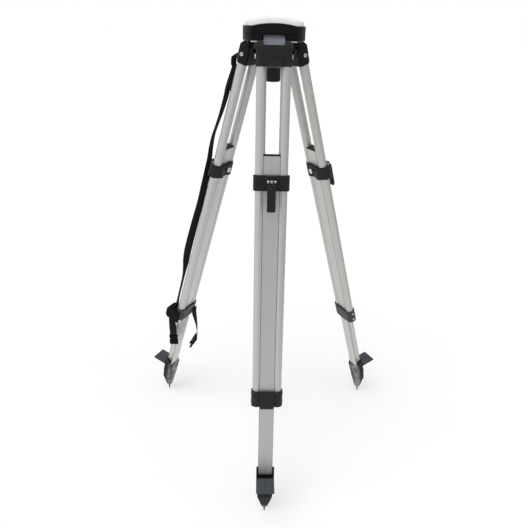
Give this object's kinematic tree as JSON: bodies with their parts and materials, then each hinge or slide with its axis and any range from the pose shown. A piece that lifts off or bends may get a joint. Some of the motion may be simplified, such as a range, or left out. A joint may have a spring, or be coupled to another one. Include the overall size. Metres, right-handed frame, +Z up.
{
  "type": "dome head tripod",
  "caption": "Surveying tripod with a domed head plate, hinged twin-tube aluminium legs, sliding inner bars, cam-lever clamps, pointed shoes with step plates, a carry strap and a central instrument screw.",
  "frame": {"origin": "the plumb point: on the ground, on the axis of the head and its screw", "axes": "+Z up along the head's axis, -Y towards the front leg, +X towards the right leg"},
  "size_m": [0.7924, 0.5779, 1.237],
  "materials": {
    "dome_metal": "fine machined, pale",
    "head_black": "satin black",
    "black_plastic": "satin black moulding",
    "tube_aluminium": "satin anodised tube",
    "bar_aluminium": "satin anodised bar",
    "shoe_metal": "dark grey cast",
    "zinc_steel": "bright zinc",
    "screw_steel": "plain steel",
    "washer_plastic": "pale slippery plastic",
    "webbing": "black woven webbing",
    "buckle_plastic": "black moulding"
  },
  "bodies": {
    "head": {"dome_plate": "dome_metal", "head_rim": "head_black", "lug_ring": "head_black", "retainer_plate": "zinc_steel", "retainer_screws": "zinc_steel"},
    "slide_washer": {"slide_washer": "washer_plastic"},
    "guide_bush": {"guide_bush": "screw_steel"},
    "thrust_washer": {"thrust_washer": "washer_plastic"},
    "screw": {"fixing_screw": "screw_steel", "screw_knob": "black_plastic"},
    "upper_leg_front": {"hinge_block_front": "black_plastic", "hinge_bolt_front": "zinc_steel", "upper_tubes_front": "tube_aluminium", "lower_bracket_front": "black_plastic", "bracket_screws_front": "zinc_steel"},
    "lower_leg_front": {"inner_leg_front": "bar_aluminium", "inner_leg_cap_front": "black_plastic", "clamp_outer_jaw_front": "black_plastic", "clamp_inner_jaw_front": "black_plastic", "clamp_bolt_front": "zinc_steel", "lever_pin_front": "zinc_steel", "shoe_front": "shoe_metal", "spike_front": "zinc_steel"},
    "lever_front": {"clamp_lever_front": "black_plastic"},
    "upper_leg_left": {"hinge_block_left": "black_plastic", "hinge_bolt_left": "zinc_steel", "upper_tubes_left": "tube_aluminium", "lower_bracket_left": "black_plastic", "bracket_screws_left": "zinc_steel", "carry_strap": "webbing", "strap_anchor": "buckle_plastic", "closing_strap": "webbing", "closing_strap_tail": "webbing", "buckle_socket": "buckle_plastic", "buckle_prong": "buckle_plastic"},
    "lower_leg_left": {"inner_leg_left": "bar_aluminium", "inner_leg_cap_left": "black_plastic", "clamp_outer_jaw_left": "black_plastic", "clamp_inner_jaw_left": "black_plastic", "clamp_bolt_left": "zinc_steel", "lever_pin_left": "zinc_steel", "shoe_left": "shoe_metal", "spike_left": "zinc_steel"},
    "lever_left": {"clamp_lever_left": "black_plastic"},
    "upper_leg_right": {"hinge_block_right": "black_plastic", "hinge_bolt_right": "zinc_steel", "upper_tubes_right": "tube_aluminium", "lower_bracket_right": "black_plastic", "bracket_screws_right": "zinc_steel"},
    "lower_leg_right": {"inner_leg_right": "bar_aluminium", "inner_leg_cap_right": "black_plastic", "clamp_outer_jaw_right": "black_plastic", "clamp_inner_jaw_right": "black_plastic", "clamp_bolt_right": "zinc_steel", "lever_pin_right": "zinc_steel", "shoe_right": "shoe_metal", "spike_right": "zinc_steel"},
    "lever_right": {"clamp_lever_right": "black_plastic"}
  },
  "joints": [
    {"name": "screw_swing_x", "type": "hinge", "parent": "head", "child": "slide_washer", "pos_m": [0, 0, 1.01274], "axis": [1, 0, 0], "range_deg": [-1.6, 1.6]},
    {"name": "screw_swing_y", "type": "hinge", "parent": "slide_washer", "child": "guide_bush", "pos_m": [0, 0, 1.01274], "axis": [0, 1, 0], "range_deg": [-1.6, 1.6]},
    {"name": "screw_lift", "type": "slide", "parent": "guide_bush", "child": "thrust_washer", "axis": [0, 0, 1], "range_m": [0, 0.014]},
    {"name": "screw_turn", "type": "hinge", "parent": "thrust_washer", "child": "screw", "pos_m": [0, 0, 1.01274], "axis": [0, 0, 1], "continuous": true},
    {"name": "leg_swing_front", "type": "hinge", "parent": "head", "child": "upper_leg_front", "pos_m": [0, -0.058, 1.163], "axis": [-1, 0, 0], "range_deg": [-11.8, 23.2]},
    {"name": "leg_slide_front", "type": "slide", "parent": "upper_leg_front", "child": "lower_leg_front", "axis": [0, -0.2045, -0.9789], "range_m": [-0.154, 0.508]},
    {"name": "lever_flip_front", "type": "hinge", "parent": "lower_leg_front", "child": "lever_front", "pos_m": [0, -0.13777, 0.91712], "axis": [-1, 0, 0], "range_deg": [0, 100]},
    {"name": "leg_swing_left", "type": "hinge", "parent": "head", "child": "upper_leg_left", "pos_m": [-0.05023, 0.029, 1.163], "axis": [0.5, 0.866, 0], "range_deg": [-17.5, 17.5]},
    {"name": "leg_slide_left", "type": "slide", "parent": "upper_leg_left", "child": "lower_leg_left", "axis": [-0.2604, 0.1504, -0.9537], "range_m": [-0.1836, 0.4784]},
    {"name": "lever_flip_left", "type": "hinge", "parent": "lower_leg_left", "child": "lever_left", "pos_m": [-0.14783, 0.08535, 0.89801], "axis": [0.5, 0.866, 0], "range_deg": [0, 100]},
    {"name": "leg_swing_right", "type": "hinge", "parent": "head", "child": "upper_leg_right", "pos_m": [0.05023, 0.029, 1.163], "axis": [0.5, -0.866, 0], "range_deg": [-17.5, 17.5]},
    {"name": "leg_slide_right", "type": "slide", "parent": "upper_leg_right", "child": "lower_leg_right", "axis": [0.2604, 0.1504, -0.9537], "range_m": [-0.1836, 0.4784]},
    {"name": "lever_flip_right", "type": "hinge", "parent": "lower_leg_right", "child": "lever_right", "pos_m": [0.14783, 0.08535, 0.89801], "axis": [0.5, -0.866, 0], "range_deg": [0, 100]}
  ]
}
